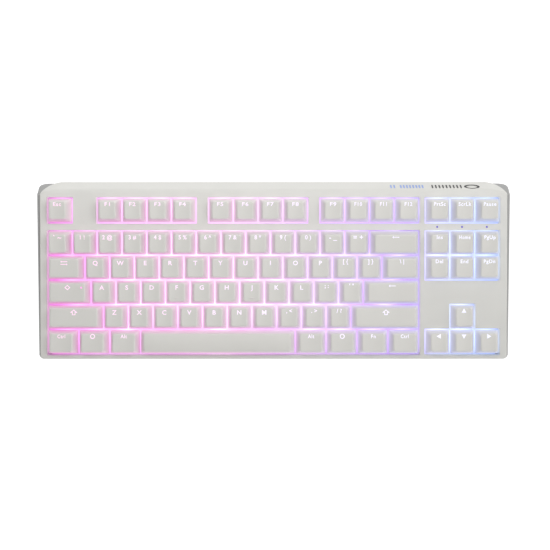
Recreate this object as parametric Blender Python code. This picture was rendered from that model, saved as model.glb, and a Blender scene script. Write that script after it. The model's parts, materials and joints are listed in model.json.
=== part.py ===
"""A tenkeyless mechanical keyboard in the 87-key ANSI layout, with flip feet.

Metres, +Z up. +X is the typist's right and +Y is away from the typist. The origin is on the desk, under the
middle of the keyboard. Everything the switches sit on is tilted by DECK_TILT about X. A place on that deck is
given as x, v, w: v runs up the deck to the rear, and w is the height above the top of the switch plate. The
middle of the key field is x = 0, v = FIELD_V.
"""

import math

import bmesh
import bpy
from mathutils import Vector

# Deck and key field
PITCH = 0.01905
DECK_TILT = math.radians(6)
FIELD_UNITS = 18.25
FIELD_HEIGHT = 0.019
FIELD_Y = -0.00345
FIELD_V = -0.0008
FIELD_HALF = 2.6667 * PITCH
FUNCTION_INSET = 0.0005
ROW_V = {
    "function": FIELD_V + FIELD_HALF - FUNCTION_INSET,
    "number": FIELD_V + 1.3333 * PITCH,
    "tab": FIELD_V + 0.3333 * PITCH,
    "caps": FIELD_V - 0.6667 * PITCH,
    "shift": FIELD_V - 1.6667 * PITCH,
    "space": FIELD_V - FIELD_HALF,
}

# Keycaps: row name to the depth of the top, how far its middle sits behind the stem, then the height of its
# front and rear edges over the skirt
CAP_TOPS = {
    "function": (0.0134, -0.0005, 0.0090, 0.0106),
    "number": (0.0138, -0.0009, 0.0090, 0.0106),
    "tab": (0.0144, -0.0003, 0.0086, 0.0092),
    "caps": (0.0142, 0.0001, 0.0083, 0.0083),
    "shift": (0.0143, 0.0001, 0.0088, 0.0080),
    "space": (0.0139, -0.0002, 0.0092, 0.0080),
}
CAP_GAP = 0.00095
CAP_TAPER = 0.0059
CAP_WALL = 0.0015
CAP_ROOF = 0.0018
SKIRT = 0.0060
KEY_TRAVEL = 0.0040
STEM_WIDTH, STEM_DEPTH, STEM_END = 0.0050, 0.0042, 0.0006
LINK_WIDTH, LINK_HEIGHT, LINK_BITE = 0.0030, 0.0012, 0.0008

# Keys with a node of their own: name to row, first unit and width in units
SINGLE_KEYS = {
    "esc": ("function", 0, 1),
    "backspace": ("number", 13, 2),
    "tab": ("tab", 0, 1.5),
    "caps_lock": ("caps", 0, 1.75),
    "enter": ("caps", 12.75, 2.25),
    "left_shift": ("shift", 0, 2.25),
    "right_shift": ("shift", 12.25, 2.75),
    "space_bar": ("space", 3.75, 6.25),
}
LETTER_ROWS = (("tab", 1.5, "qwertyuiop"), ("caps", 1.75, "asdfghjkl"), ("shift", 2.25, "zxcvbnm"))
# Keys joined in one node: name to runs of neighbours, each with its row, first unit and widths
KEY_BANKS = {
    "f1_to_f4": [("function", 2, (1, 1, 1, 1))],
    "f5_to_f8": [("function", 6.5, (1, 1, 1, 1))],
    "f9_to_f12": [("function", 11, (1, 1, 1, 1))],
    "print_to_pause": [("function", 15.25, (1, 1, 1))],
    "number_row": [("number", 0, (1,) * 13)],
    "brackets": [("tab", 11.5, (1, 1, 1.5))],
    "semicolon_quote": [("caps", 10.75, (1, 1))],
    "comma_to_slash": [("shift", 9.25, (1, 1, 1))],
    "left_modifiers": [("space", 0, (1.25,) * 3)],
    "right_modifiers": [("space", 10, (1.25,) * 4)],
    "navigation": [("number", 15.25, (1, 1, 1)), ("tab", 15.25, (1, 1, 1))],
    "arrows": [("shift", 16.25, (1,)), ("space", 15.25, (1, 1, 1))],
}

# Switches, plate and board
PLATE_THICK = 0.0015
PLATE_HOLE = 0.0144
PLATE_HALF, PLATE_FRONT, PLATE_REAR = 0.1760, -0.0617, 0.0648
HOUSING_BODY, HOUSING_FLANGE, HOUSING_TOP = 0.0138, 0.0156, 0.0096
HOUSING_HEIGHT = 0.0066
WELL_WIDTH, WELL_DEPTH = 0.0060, 0.0052
WELL_FLOOR = STEM_END - KEY_TRAVEL - 0.0004
CARRIER_TOP, CARRIER_THICK = -0.0039, 0.0008
BOARD_TOP, BOARD_THICK = -0.0050, 0.0016
BOARD_HALF, BOARD_FRONT, BOARD_REAR = 0.1730, -0.0598, 0.0635
SHEET_CLIP = 0.004
FIT = 0.0003

# Case
CORNER_START = 0.0635
CORNER_STEPS = 5
CORNER_POWER = 2.6
PARTING_RISE = 0.0051
PARTING_DROP = 0.94
PARTING_GAP = 0.0005
FRAME_TOP = 0.0080
FRAME_SKIN = 0.0020
CASE_FRONT = -0.0652
FRAME_REAR = 0.0724
WINDOW_GAP = 0.00065
WINDOW_WALL = 0.0008
UNDERSIDE, FLOOR = 0.0020, 0.0040
POST_SIZE = 0.006
POST_XS, POST_VS = (-0.12, 0.0, 0.12), (-0.0413, 0.0390)
# Windows in the top frame, in units from the field's left edge, and the rows they reach from and to
WINDOWS = (
    (0, 1, "function", "function"),
    (2, 6, "function", "function"),
    (6.5, 10.5, "function", "function"),
    (11, 15, "function", "function"),
    (15.25, 18.25, "function", "function"),
    (0, 15, "space", "number"),
    (15.25, 18.25, "tab", "number"),
)

# Cable socket
SOCKET_X, SOCKET_W = -0.065, -0.00855
SOCKET_SIZE = (0.00894, 0.0073, 0.00326)
SOCKET_MOUTH = 0.0655
SOCKET_WALL = 0.0003
TONGUE_SIZE = (0.0066, 0.0045, 0.0007)
PORT_SIZE = (0.0130, 0.0120, 0.0075)
PORT_AHEAD = 0.0018

# Pads and flip feet
PAD_SIZE = (0.036, 0.009, 0.0017)
PAD_BEVEL = 0.0004
PAD_PLACES = {
    "front_left": (-0.145, -0.051),
    "front_right": (0.145, -0.051),
    "rear_left": (-0.110, 0.0560),
    "rear_right": (0.110, 0.0560),
}
FOOT_X, HINGE_Y, HINGE_Z = 0.150, 0.0565, 0.0052
BARREL_RADIUS = 0.0020
FOOT_THICK = 0.0040
TALL_FOOT = (0.0240, 0.0230)
SHORT_FOOT = (0.0126, 0.0145)
NOTCH = (0.0134, 0.0160)
POCKET_WIDTH, POCKET_REAR, POCKET_LENGTH, POCKET_TOP = 0.0250, 0.0032, 0.0280, 0.0092
POCKET_WALL = 0.0016


def clear_scene():
    for item in list(bpy.data.objects):
        bpy.data.objects.remove(item)


def material(name, colour, roughness, metallic=0.0):
    made = bpy.data.materials.new(name)
    made.use_nodes = True
    shader = made.node_tree.nodes["Principled BSDF"]
    shader.inputs["Base Color"].default_value = (*colour, 1)
    shader.inputs["Roughness"].default_value = roughness
    shader.inputs["Metallic"].default_value = metallic
    return made


def place(name, bm, finish, location=(0, 0, 0), parent=None):
    """Close the mesh's normals outwards and make it an object at its own origin."""
    bmesh.ops.recalc_face_normals(bm, faces=bm.faces)
    mesh = bpy.data.meshes.new(name)
    bm.to_mesh(mesh)
    bm.free()
    if finish:
        mesh.materials.append(finish)
    made = bpy.data.objects.new(name, mesh)
    made.location = location
    made.parent = parent
    bpy.context.scene.collection.objects.link(made)
    return made


def combine(target, tool, operation):
    """Add or cut a hidden tool body."""
    tool.hide_render = True
    tool.display_type = "WIRE"
    cut = target.modifiers.new(tool.name, "BOOLEAN")
    cut.operation = operation
    cut.solver = "EXACT"
    cut.object = tool


def ring(bm, points):
    """A closed loop of vertices joined by edges."""
    verts = [bm.verts.new(p) for p in points]
    for a, b in zip(verts, verts[1:] + verts[:1]):
        bm.edges.new((a, b))
    return verts


def bridge(bm, *rings):
    """Walls between each ring and the next."""
    for low, high in zip(rings, rings[1:]):
        for i in range(len(low)):
            j = (i + 1) % len(low)
            bm.faces.new((low[i], low[j], high[j], high[i]))


def fill(bm, outer, holes=()):
    """A flat face inside the outer ring and outside the holes."""
    if not holes:
        bm.faces.new(outer)
        return
    edges = []
    for loop in (outer, *holes):
        edges += [bm.edges.get((a, b)) for a, b in zip(loop, loop[1:] + loop[:1])]
    bmesh.ops.triangle_fill(bm, use_beauty=True, use_dissolve=False, edges=edges)


def rectangle(x, v, width, depth):
    """Corner points, front left first."""
    w, d = width / 2, depth / 2
    return [(x - w, v - d), (x + w, v - d), (x + w, v + d), (x - w, v + d)]


def clipped(half, front, rear):
    """Plan of the plate or the board: a rectangle with clipped corners."""
    x, c = half, SHEET_CLIP
    right = [(x - c, front), (x, front + c), (x, rear - c), (x - c, rear)]
    return right + [(-px, pv) for px, pv in reversed(right)]


def flat_ring(bm, points, height):
    return ring(bm, [(x, v, height) for x, v in points])


def box(bm, centre, size):
    x, y, z = centre
    low = flat_ring(bm, rectangle(x, y, size[0], size[1]), z - size[2] / 2)
    high = flat_ring(bm, rectangle(x, y, size[0], size[1]), z + size[2] / 2)
    bridge(bm, low, high)
    fill(bm, low)
    fill(bm, high)


def from_units(units):
    """Distance from the field's middle of a place given in units from its left edge."""
    return (units - FIELD_UNITS / 2) * PITCH


def cells(row, first, widths):
    """Centre x, centre v, width in metres and row of each key in a run of neighbours."""
    found = []
    for width in widths:
        found.append((from_units(first + width / 2), ROW_V[row], width * PITCH, row))
        first += width
    return found


def single_cells():
    named = {name: cells(row, first, (width,)) for name, (row, first, width) in SINGLE_KEYS.items()}
    for row, first, letters in LETTER_ROWS:
        for i, letter in enumerate(letters):
            named[letter] = cells(row, first + i, (1,))
    return named


def bank_cells():
    return {name: [c for run in runs for c in cells(*run)] for name, runs in KEY_BANKS.items()}


def keycap(bm, x, v, width, row):
    """One keycap: a tapered shell that is open below, with its stem on the inside."""
    depth, setback, front, rear = CAP_TOPS[row]
    base_width, base_depth = width - CAP_GAP, PITCH - CAP_GAP
    slope, middle = (rear - front) / depth, v + setback

    def under_top(points, drop):
        centre = SKIRT + (front + rear) / 2 - drop
        return ring(bm, [(px, pv, centre + slope * (pv - middle)) for px, pv in points])

    crown = under_top(rectangle(x, middle, base_width - CAP_TAPER, depth), 0)
    roof_size = (base_width - CAP_TAPER - 2 * CAP_WALL, depth - 2 * CAP_WALL)
    roof = under_top(rectangle(x, middle, *roof_size), CAP_ROOF)
    stem = under_top(rectangle(x, v, STEM_WIDTH, STEM_DEPTH), CAP_ROOF)
    base = flat_ring(bm, rectangle(x, v, base_width, base_depth), SKIRT)
    lip = flat_ring(bm, rectangle(x, v, base_width - 2 * CAP_WALL, base_depth - 2 * CAP_WALL), SKIRT)
    stem_end = flat_ring(bm, rectangle(x, v, STEM_WIDTH, STEM_DEPTH), STEM_END)
    fill(bm, crown)
    bridge(bm, crown, base, lip, roof)
    fill(bm, roof, [stem])
    bridge(bm, stem, stem_end)
    fill(bm, stem_end)


def links(bm, bank):
    """Short tabs across the gaps between the skirts of neighbouring keys in a bank."""
    w = SKIRT + LINK_HEIGHT
    reach = CAP_GAP + 2 * LINK_BITE
    for a in bank:
        for b in bank:
            touching = abs(b[0] - a[0] - (a[2] + b[2]) / 2) < FIT
            if touching and a[1] == b[1]:
                box(bm, (a[0] + a[2] / 2, a[1], w), (reach, LINK_WIDTH, LINK_HEIGHT))
            above = abs(b[1] - a[1] - PITCH) < FIT
            if above and abs(a[0] - b[0]) < FIT:
                box(bm, (a[0], a[1] + PITCH / 2, w), (LINK_WIDTH, reach, LINK_HEIGHT))


def build_keys(deck, cap_plastic):
    """Every key's own origin is on its stem's axis."""
    for name, run in {**single_cells(), **bank_cells()}.items():
        x0, v0 = run[0][:2]
        local = [(x - x0, v - v0, width, row) for x, v, width, row in run]
        caps = bmesh.new()
        for cell in local:
            keycap(caps, *cell)
        key = place(f"key_{name}", caps, cap_plastic, (x0, v0, 0), deck)
        if len(local) > 1:
            tabs = bmesh.new()
            links(tabs, local)
            tool = place(f"links_{name}", tabs, None, (x0, v0, 0), deck)
            combine(key, tool, "UNION")


def all_cells():
    return [c for run in (*single_cells().values(), *bank_cells().values()) for c in run]


def build_plate(deck, steel):
    """Sheet with a square hole for each switch."""
    bm = bmesh.new()
    edge = clipped(PLATE_HALF, PLATE_FRONT, PLATE_REAR)
    holes = [rectangle(x, v, PLATE_HOLE, PLATE_HOLE) for x, v, _, _ in all_cells()]
    sides = []
    for height in (-PLATE_THICK, 0):
        loops = [flat_ring(bm, points, height) for points in (edge, *holes)]
        fill(bm, loops[0], loops[1:])
        sides.append(loops)
    for low, high in zip(*sides):
        bridge(bm, low, high)
    place("switch_plate", bm, steel, parent=deck)


def housing(bm, x, v):
    """One switch housing from the carrier up, open on top for its stem. Returns the ring on the carrier."""

    def square(size, height):
        return flat_ring(bm, rectangle(x, v, size, size), height)

    foot = square(HOUSING_BODY, CARRIER_TOP)
    well_top = flat_ring(bm, rectangle(x, v, WELL_WIDTH, WELL_DEPTH), HOUSING_HEIGHT)
    well_floor = flat_ring(bm, rectangle(x, v, WELL_WIDTH, WELL_DEPTH), WELL_FLOOR)
    waist, flange = square(HOUSING_BODY, FIT), square(HOUSING_FLANGE, FIT)
    bridge(bm, foot, waist, flange, square(HOUSING_TOP, HOUSING_HEIGHT), well_top, well_floor)
    fill(bm, well_floor)
    return foot


def build_housings(deck, nylon):
    """All the switch housings, standing on the thin carrier between the plate and the board."""
    bm = bmesh.new()
    edge = rectangle(0, FIELD_V, FIELD_UNITS * PITCH, 2 * FIELD_HALF + PITCH)
    top = flat_ring(bm, edge, CARRIER_TOP)
    base = flat_ring(bm, edge, CARRIER_TOP - CARRIER_THICK)
    feet = [housing(bm, x, v) for x, v, _, _ in all_cells()]
    fill(bm, top, feet)
    bridge(bm, top, base)
    fill(bm, base)
    place("switch_housings", bm, nylon, parent=deck)


def build_board(deck, laminate):
    """Circuit board under the switches."""
    bm = bmesh.new()
    points = clipped(BOARD_HALF, BOARD_FRONT, BOARD_REAR)
    low = flat_ring(bm, points, BOARD_TOP - BOARD_THICK)
    high = flat_ring(bm, points, BOARD_TOP)
    bridge(bm, low, high)
    fill(bm, low)
    fill(bm, high)
    place("circuit_board", bm, laminate, parent=deck)


def outline(half, front, rear, chamfer, corner, power=2.0):
    """Plan of the case: clipped front corners, and rear corners rounded from CORNER_START back to the rear."""
    right = [(half - chamfer, front), (half, front + chamfer)]
    for i in range(CORNER_STEPS + 1):
        angle = math.pi / 2 * i / CORNER_STEPS
        across = max(math.cos(angle), 0) ** (2 / power)
        back = math.sin(angle) ** (2 / power)
        right.append((half - corner + corner * across, CORNER_START + (rear - CORNER_START) * back))
    return right + [(-x, v) for x, v in reversed(right)]


def parting(v):
    """Height over the plate of the joint between the case halves. It climbs to the rear, then drops behind."""
    if v < CORNER_START:
        return PARTING_RISE * (v - CASE_FRONT) / (CORNER_START - CASE_FRONT)
    return PARTING_RISE - PARTING_DROP * (v - CORNER_START)


def window_plan(grow):
    """Corner points of each window in the top frame, with its sides moved out by grow."""
    plans = []
    for left, right, low, high in WINDOWS:
        x0, x1 = from_units(left) - grow, from_units(right) + grow
        v0, v1 = ROW_V[low] - PITCH / 2 - grow, ROW_V[high] + PITCH / 2 + grow
        plans.append([(x0, v0), (x1, v0), (x1, v1), (x0, v1)])
    return plans + [arrow_window(grow)]


def arrow_window(grow):
    """The T-shaped window round the arrow keys."""
    x0, x1, x2, x3 = (from_units(u) for u in (15.25, 16.25, 17.25, 18.25))
    low, high = ROW_V["space"] - PITCH / 2 - grow, ROW_V["shift"] + PITCH / 2 + grow
    step = ROW_V["space"] + PITCH / 2 + grow
    foot = [(x0 - grow, low), (x3 + grow, low), (x3 + grow, step)]
    stem = [(x2 + grow, step), (x2 + grow, high), (x1 - grow, high), (x1 - grow, step)]
    return foot + stem + [(x0 - grow, step)]


def build_top_case(deck, plastic):
    """The frame round the keys: a skin with walls down round its rim and round each window."""
    bm = bmesh.new()

    def rim_ring(half, front, rear, corner):
        points = outline(half, front, rear, 0.0024, corner)
        return ring(bm, [(x, v, parting(v) + PARTING_GAP) for x, v in points])

    top = flat_ring(bm, outline(0.1794, -0.0643, 0.0664, 0.0022, 0.0125), FRAME_TOP)
    edge = flat_ring(bm, outline(0.1802, -0.0650, 0.0672, 0.0024, 0.0130), FRAME_TOP - 0.0008)
    rim = rim_ring(0.1806, CASE_FRONT, FRAME_REAR, 0.0135)
    inner_rim = rim_ring(0.1784, -0.0632, 0.0702, 0.0120)
    ceiling = flat_ring(bm, outline(0.1778, -0.0628, 0.0654, 0.0020, 0.0110), FRAME_TOP - FRAME_SKIN)
    bridge(bm, top, edge, rim, inner_rim, ceiling)

    openings = [flat_ring(bm, plan, FRAME_TOP) for plan in window_plan(WINDOW_GAP)]
    lower = [flat_ring(bm, plan, PARTING_GAP) for plan in window_plan(WINDOW_GAP)]
    wall_foot = [flat_ring(bm, plan, PARTING_GAP) for plan in window_plan(WINDOW_GAP + WINDOW_WALL)]
    wall_head = [flat_ring(bm, plan, FRAME_TOP - FRAME_SKIN) for plan in window_plan(WINDOW_GAP + WINDOW_WALL)]
    for loops in zip(openings, lower, wall_foot, wall_head):
        bridge(bm, *loops)
    fill(bm, top, openings)
    fill(bm, ceiling, wall_head)
    place("top_case", bm, plastic, parent=deck)


def on_deck(x, v, w):
    """World place of a point on the deck."""
    c, s = math.cos(DECK_TILT), math.sin(DECK_TILT)
    return Vector((x, FIELD_Y + v * c - w * s, FIELD_HEIGHT + v * s + w * c))


def build_bottom_case(deck, plastic):
    """The tray, with posts under the board and a pocket in its underside for each pair of feet."""
    bm = bmesh.new()

    def level(points, z):
        return ring(bm, [(x, FIELD_Y + v, z) for x, v in points])

    def sloped(points, drop):
        return ring(bm, [on_deck(x, v, parting(v) - drop) for x, v in points])

    sole = level(outline(0.1755, -0.0615, 0.0665, 0.0030, 0.0060), UNDERSIDE)
    heel = level(outline(0.1770, -0.0630, 0.0685, 0.0030, 0.0080), UNDERSIDE + 0.0015)
    widest = sloped(outline(0.1825, CASE_FRONT, 0.0712, 0.0026, 0.0100, CORNER_POWER), 0.0011)
    shoulder = sloped(outline(0.1812, -0.0648, 0.0706, 0.0024, 0.0100, CORNER_POWER), 0)
    inner = sloped(outline(0.1788, -0.0628, 0.0684, 0.0022, 0.0120), 0)
    floor = level(outline(0.1735, -0.0600, 0.0650, 0.0030, 0.0060), FLOOR)
    bridge(bm, sole, heel, widest, shoulder, inner, floor)

    pockets, raised = [], []
    pocket_v = HINGE_Y - FIELD_Y + POCKET_REAR - POCKET_LENGTH / 2
    for side in (-1, 1):
        plan = rectangle(side * FOOT_X, pocket_v, POCKET_WIDTH, POCKET_LENGTH)
        mouth, roof = level(plan, UNDERSIDE), level(plan, POCKET_TOP)
        bridge(bm, mouth, roof)
        fill(bm, roof)
        pockets.append(mouth)
        grown = (POCKET_WIDTH + 2 * POCKET_WALL, POCKET_LENGTH + 2 * POCKET_WALL)
        plan = rectangle(side * FOOT_X, pocket_v, *grown)
        base, lid = level(plan, FLOOR), level(plan, POCKET_TOP + POCKET_WALL)
        bridge(bm, base, lid)
        fill(bm, lid)
        raised.append(base)

    post_top = BOARD_TOP - BOARD_THICK - FIT
    for x in POST_XS:
        for v in POST_VS:
            top = [on_deck(px, pv, post_top) for px, pv in rectangle(x, v, POST_SIZE, POST_SIZE)]
            base = ring(bm, [(p.x, p.y, FLOOR) for p in top])
            head = ring(bm, top)
            bridge(bm, base, head)
            fill(bm, head)
            raised.append(base)
    fill(bm, sole, pockets)
    fill(bm, floor, raised)
    tray = place("bottom_case", bm, plastic)

    hole = bmesh.new()
    box(hole, (0, 0, 0), PORT_SIZE)
    port = place("port_cutter", hole, None, (SOCKET_X, SOCKET_MOUTH + PORT_AHEAD, SOCKET_W), deck)
    combine(tray, port, "DIFFERENCE")


def stadium(bm, size, v):
    """A ring of 12 points on a flat-topped oval that faces the rear."""
    radius = size[2] / 2
    points = []
    for i in range(12):
        angle = math.pi * (i % 6) / 5 - math.pi / 2
        side = 1 if i < 6 else -1
        across = side * (size[0] / 2 - radius + radius * math.cos(angle))
        points.append((across, v, side * radius * math.sin(angle)))
    return ring(bm, points)


def build_socket(deck, steel):
    """Cable socket: an oval shell with a tongue inside its mouth."""
    bm = bmesh.new()
    hollow = (SOCKET_SIZE[0] - 2 * SOCKET_WALL, 0, SOCKET_SIZE[2] - 2 * SOCKET_WALL)
    back = stadium(bm, SOCKET_SIZE, -SOCKET_SIZE[1])
    mouth = stadium(bm, SOCKET_SIZE, 0)
    inner = stadium(bm, hollow, 0)
    depth = SOCKET_WALL - SOCKET_SIZE[1]
    deep = stadium(bm, hollow, depth)
    root = stadium(bm, TONGUE_SIZE, depth)
    tip = stadium(bm, TONGUE_SIZE, depth + TONGUE_SIZE[1])
    fill(bm, back)
    bridge(bm, back, mouth, inner, deep, root, tip)
    fill(bm, tip)
    place("usb_socket", bm, steel, (SOCKET_X, SOCKET_MOUTH, SOCKET_W), deck)


def build_pads(rubber):
    for name, (x, y) in PAD_PLACES.items():
        bm = bmesh.new()
        box(bm, (0, 0, PAD_SIZE[2] / 2), PAD_SIZE)
        pad = place(f"{name}_pad", bm, rubber, (x, y, 0))
        rounded = pad.modifiers.new("edge", "BEVEL")
        rounded.width = PAD_BEVEL
        rounded.segments = 1


def foot_profile(length):
    """Side view of a folded foot about its hinge: a round barrel, a flat leg and a slanted tip."""
    half = FOOT_THICK / 2
    points = []
    for i in range(9):
        angle = math.pi / 2 - math.pi * i / 8
        points.append((BARREL_RADIUS * math.cos(angle), BARREL_RADIUS * math.sin(angle)))
    return points + [(-length + half, -half), (-length, 0), (-length, half)]


def foot_body(width, length):
    bm = bmesh.new()
    left, right = (ring(bm, [(x, y, z) for y, z in foot_profile(length)]) for x in (-width / 2, width / 2))
    bridge(bm, left, right)
    fill(bm, left)
    fill(bm, right)
    return bm


def build_feet(plastic):
    """A tall foot each side, with a short foot in its notch. Both turn on the same hinge line."""
    for side, sign in (("left", -1), ("right", 1)):
        hinge = (sign * FOOT_X, HINGE_Y, HINGE_Z)
        tall = place(f"{side}_tall_foot", foot_body(*TALL_FOOT), plastic, hinge)
        gap = bmesh.new()
        reach = 2 * BARREL_RADIUS
        box(gap, (0, (reach - NOTCH[1]) / 2, 0), (NOTCH[0], NOTCH[1] + reach, 4 * FOOT_THICK))
        notch = place(f"{side}_notch_cutter", gap, None, hinge)
        combine(tall, notch, "DIFFERENCE")
        place(f"{side}_short_foot", foot_body(*SHORT_FOOT), plastic, hinge)


def main():
    clear_scene()
    deck = bpy.data.objects.new("deck", None)
    deck.location = (0, FIELD_Y, FIELD_HEIGHT)
    deck.rotation_euler = (DECK_TILT, 0, 0)
    bpy.context.scene.collection.objects.link(deck)
    case_white = material("case_white", (0.70, 0.69, 0.66), 0.55)
    case_grey = material("case_grey", (0.45, 0.45, 0.44), 0.6)
    cap_white = material("cap_white", (0.66, 0.65, 0.62), 0.5)
    plate_white = material("plate_white", (0.80, 0.79, 0.78), 0.4)
    nylon = material("housing_nylon", (0.85, 0.85, 0.88), 0.35)
    laminate = material("board_laminate", (0.03, 0.03, 0.035), 0.5)
    steel = material("socket_steel", (0.62, 0.62, 0.64), 0.3, 1.0)
    rubber = material("pad_rubber", (0.05, 0.05, 0.05), 0.85)
    build_bottom_case(deck, case_grey)
    build_top_case(deck, case_white)
    build_plate(deck, plate_white)
    build_board(deck, laminate)
    build_housings(deck, nylon)
    build_socket(deck, steel)
    build_pads(rubber)
    build_feet(case_grey)
    build_keys(deck, cap_white)


main()
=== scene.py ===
"""The looks of a tenkeyless mechanical keyboard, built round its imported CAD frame.

Everything on the keyboard's sloping deck is built in deck coordinates x, v, w: v runs up the slope to the
rear and w is the height over the top of the switch plate. DECK turns those into the row frame, in metres.
"""

import json
from math import atan2, cos, exp, pi, radians, sin, tan

import bmesh
import bpy
from mathutils import Matrix, Quaternion, Vector


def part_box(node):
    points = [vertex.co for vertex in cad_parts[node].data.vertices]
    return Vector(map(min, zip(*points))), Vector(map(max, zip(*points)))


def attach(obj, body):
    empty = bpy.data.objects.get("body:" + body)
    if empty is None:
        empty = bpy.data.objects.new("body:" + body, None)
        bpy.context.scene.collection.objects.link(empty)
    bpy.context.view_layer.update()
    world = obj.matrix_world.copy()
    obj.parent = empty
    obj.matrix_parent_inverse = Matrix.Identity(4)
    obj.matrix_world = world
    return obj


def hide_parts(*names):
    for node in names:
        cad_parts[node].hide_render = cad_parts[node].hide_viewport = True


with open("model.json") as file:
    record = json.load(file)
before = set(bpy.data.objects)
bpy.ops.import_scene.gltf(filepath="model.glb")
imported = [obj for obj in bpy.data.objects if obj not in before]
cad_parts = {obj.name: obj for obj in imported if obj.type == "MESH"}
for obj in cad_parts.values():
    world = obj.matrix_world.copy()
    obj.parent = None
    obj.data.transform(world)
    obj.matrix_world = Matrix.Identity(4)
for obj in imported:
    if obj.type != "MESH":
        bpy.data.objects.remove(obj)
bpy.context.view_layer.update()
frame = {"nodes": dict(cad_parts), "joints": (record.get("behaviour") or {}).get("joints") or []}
CHASSIS = "chassis"

# ---------------- the deck, read from the frame

press = Vector(next(joint["axis"] for joint in frame["joints"] if joint["name"] == "key_space_bar_press"))
TILT = atan2(press.y, -press.z)


def extent(points):
    """Lowest and highest corner of the box round the points."""
    across = list(zip(*points))
    return Vector([min(values) for values in across]), Vector([max(values) for values in across])


def turned_box(node):
    """Lowest and highest corner of a CAD node along axes turned to the deck."""
    turn = Matrix.Rotation(-TILT, 3, "X")
    return extent(turn @ vert.co for vert in frame["nodes"][node].data.vertices)


field_low, field_high = turned_box("switch_housings")
plate_low, plate_high = turned_box("switch_plate")
PLATE_SETBACK = 0.00155
ORIGIN = Vector((0, (plate_low.y + plate_high.y) / 2 - PLATE_SETBACK, plate_high.z))
DECK = Matrix.Rotation(TILT, 4, "X") @ Matrix.Translation(ORIGIN)
FIELD_UNITS = 18.25
PITCH = (field_high.x - field_low.x) / FIELD_UNITS
FIELD_V = (field_low.y + field_high.y) / 2 - ORIGIN.y
SKIRT = 0.0060
FRAME_TOP = turned_box("top_case")[1].z - ORIGIN.z

# ---------------- key layout

FIELD_HALF = 2.6667 * PITCH
FUNCTION_INSET = 0.0005
FRONT_ROWS = ("space", "shift", "caps", "tab", "number")
ROW_V = {row: FIELD_V - FIELD_HALF + step * PITCH for step, row in enumerate(FRONT_ROWS)}
ROW_V["function"] = FIELD_V + FIELD_HALF - FUNCTION_INSET
# Depth of the top, how far its middle sits behind the stem, then the height of its front and rear edges
CAP_TOPS = {
    "function": (0.0134, -0.0005, 0.0090, 0.0106),
    "number": (0.0138, -0.0009, 0.0090, 0.0106),
    "tab": (0.0144, -0.0003, 0.0086, 0.0092),
    "caps": (0.0142, 0.0001, 0.0083, 0.0083),
    "shift": (0.0143, 0.0001, 0.0088, 0.0080),
    "space": (0.0139, -0.0002, 0.0092, 0.0080),
}
# Runs of neighbouring keys: row, first unit, body (None: each key has its own), then each key as its legend,
# name:legend or name:legend:width. A legend that starts with @ is a drawn symbol, and _ stands for a space.
RUNS = (
    ("function", 0, None, "Esc"),
    ("function", 2, "f1_to_f4", "F1 F2 F3 F4"),
    ("function", 6.5, "f5_to_f8", "F5 F6 F7 F8"),
    ("function", 11, "f9_to_f12", "F9 F10 F11 F12"),
    ("function", 15.25, "print_to_pause", "print:PrtSc scroll:ScrLk Pause"),
    ("number", 0, "number_row", "grave:`_~ 1_! 2_@ 3_# 4_$ 5_% 6_^ 7_& 8_* 9_( 0_) minus:-__ equals:=_+"),
    ("number", 13, None, "backspace:@left_arrow:2"),
    ("number", 15.25, "navigation", "insert:Ins Home page_up:PgUp"),
    ("tab", 0, None, "tab:@tab_arrows:1.5 Q W E R T Y U I O P"),
    ("tab", 11.5, "brackets", "left_bracket:[_{ right_bracket:]_} backslash:\\_|:1.5"),
    ("tab", 15.25, "navigation", "delete:Del End page_down:PgDn"),
    ("caps", 0, None, "caps_lock:@diamond_arrow:1.75 A S D F G H J K L"),
    ("caps", 10.75, "semicolon_quote", "semicolon:;_: quote:'_\""),
    ("caps", 12.75, None, "enter:@left_arrow:2.25"),
    ("shift", 0, None, "left_shift:@outline_arrow:2.25 Z X C V B N M"),
    ("shift", 9.25, "comma_to_slash", "comma:,_< full_stop:._> slash:/_?"),
    ("shift", 12.25, None, "right_shift:@outline_arrow:2.75"),
    ("shift", 16.25, "arrows", "up:@up"),
    ("space", 0, "left_modifiers", "left_control:Ctrl:1.25 left_system:@ring:1.25 left_alt:Alt:1.25"),
    ("space", 3.75, None, "space_bar::6.25"),
    ("space", 10, "right_modifiers", "right_alt:Alt:1.25 right_system:@ring:1.25 function_lock:Fn:1.25 "
                                     "right_control:Ctrl:1.25"),
    ("space", 15.25, "arrows", "left:@left down:@down right:@right"),
)


def from_units(units):
    return (units - FIELD_UNITS / 2) * PITCH


def read_key(word):
    """Name, legend and width in units of one key of a run."""
    if word == "semicolon:;_:":
        return "semicolon", ";_:", 1.0
    if ":" not in word:
        return word.split("_")[0].lower(), word, 1.0
    name, legend, *width = word.split(":")
    return name, legend, float(*width or [1.0])


def read_keys():
    """Every key as a dict with its name, body, row, centre, width and legend."""
    keys = []
    for row, unit, bank, words in RUNS:
        for name, legend, width in map(read_key, words.split()):
            keys.append({
                "name": name,
                "body": f"key_{bank or name}",
                "row": row,
                "x": from_units(unit + width / 2),
                "v": ROW_V[row],
                "width": width * PITCH,
                "legend": legend if legend.startswith("@") else legend.replace("_", " ", 1),
            })
            unit += width
    return keys


KEYS = read_keys()
KEY_NAMED = {key["name"]: key for key in KEYS}

# ---------------- mesh tools

SAME_POINT = 1e-6


def ring(bm, points):
    return [bm.verts.new(p) for p in points]


def level(bm, plan, w):
    return ring(bm, [(x, v, w) for x, v in plan])


def bridge(bm, *rings):
    """Walls between each ring and the next."""
    for low, high in zip(rings, rings[1:]):
        for i in range(len(low)):
            j = (i + 1) % len(low)
            bm.faces.new((low[i], low[j], high[j], high[i]))


def fan(bm, loop, centre):
    """Triangles from a ring to one middle point."""
    tip = bm.verts.new(centre)
    for a, b in zip(loop, loop[1:] + loop[:1]):
        bm.faces.new((a, b, tip))


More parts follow.
